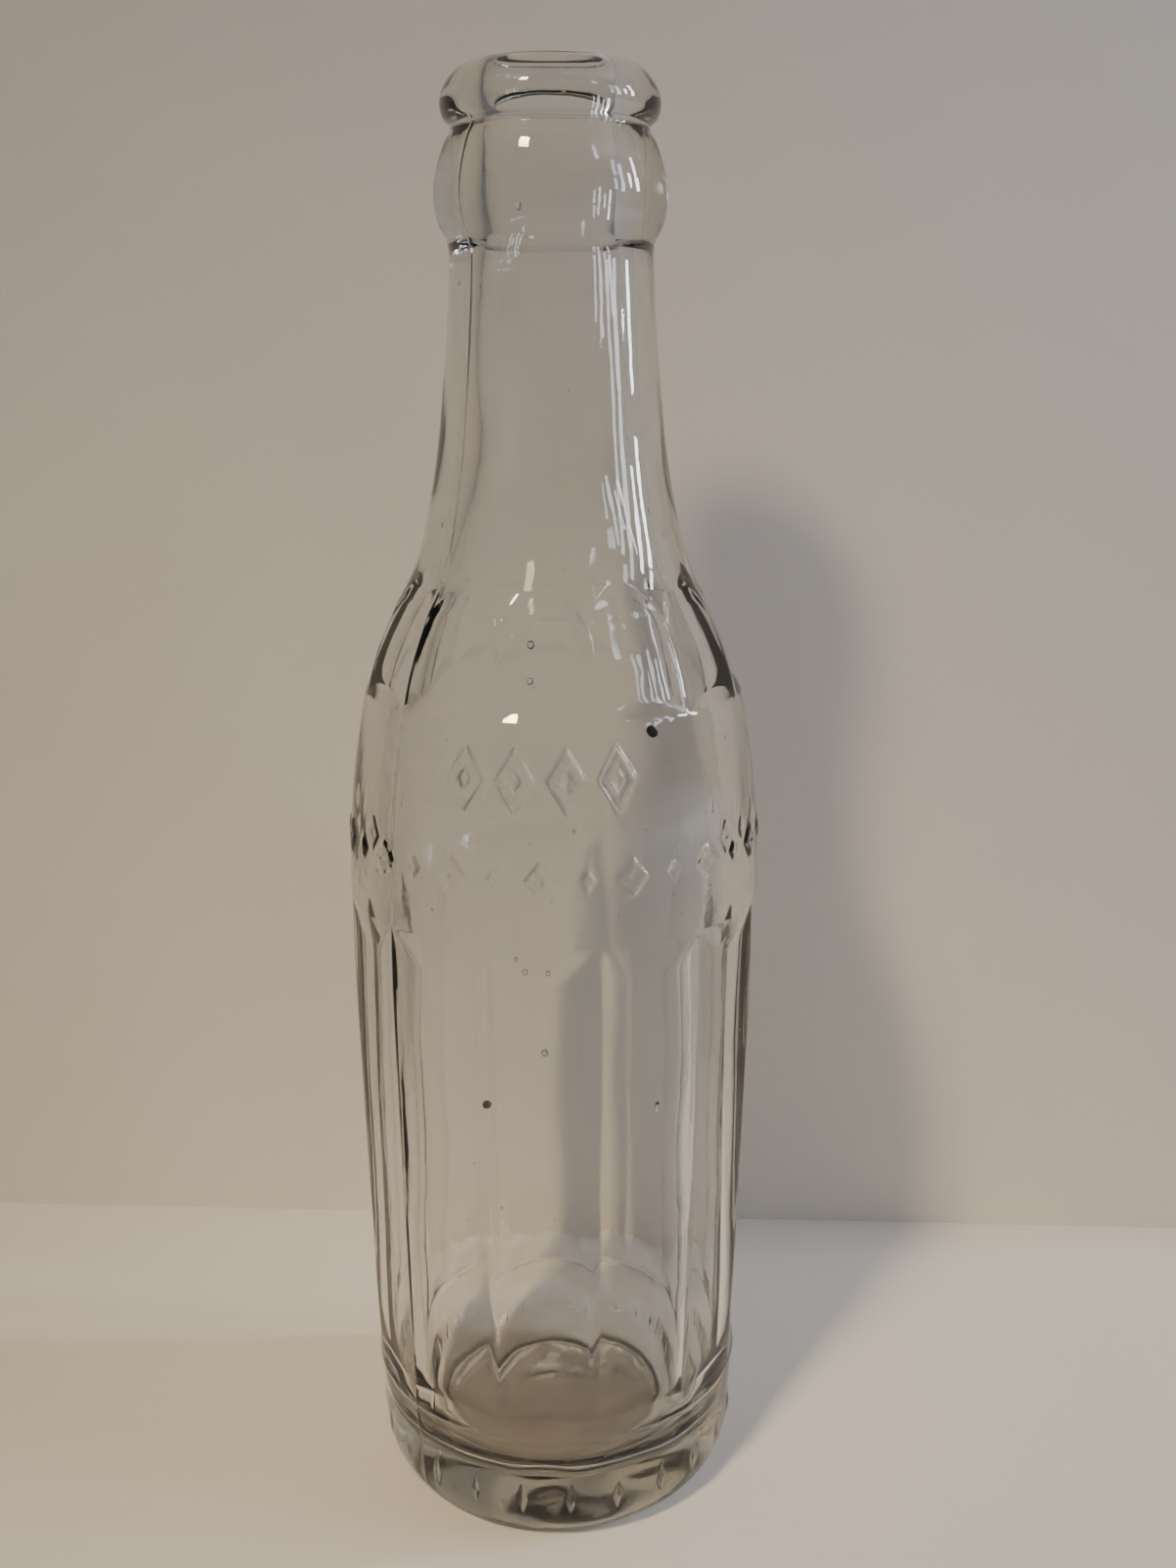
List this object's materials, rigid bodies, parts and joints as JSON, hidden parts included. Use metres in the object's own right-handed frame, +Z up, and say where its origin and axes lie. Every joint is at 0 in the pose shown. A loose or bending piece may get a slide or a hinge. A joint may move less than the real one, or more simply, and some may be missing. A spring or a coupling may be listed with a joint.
{
  "type": "glass soda bottle",
  "caption": "Clear glass crown-top soda bottle with flat panels above and below a barrel band of raised lozenges.",
  "frame": {"origin": "centre of the ring that the bottle stands on", "axes": "+Z up along the bottle's axis, towards the mouth; the front panel faces -Y"},
  "size_m": [0.0546, 0.0546, 0.1885],
  "materials": {
    "glass": "clear pressed glass, faint olive tint in the thick parts"
  },
  "bodies": {
    "root": {"bottle": "glass"}
  },
  "joints": []
}
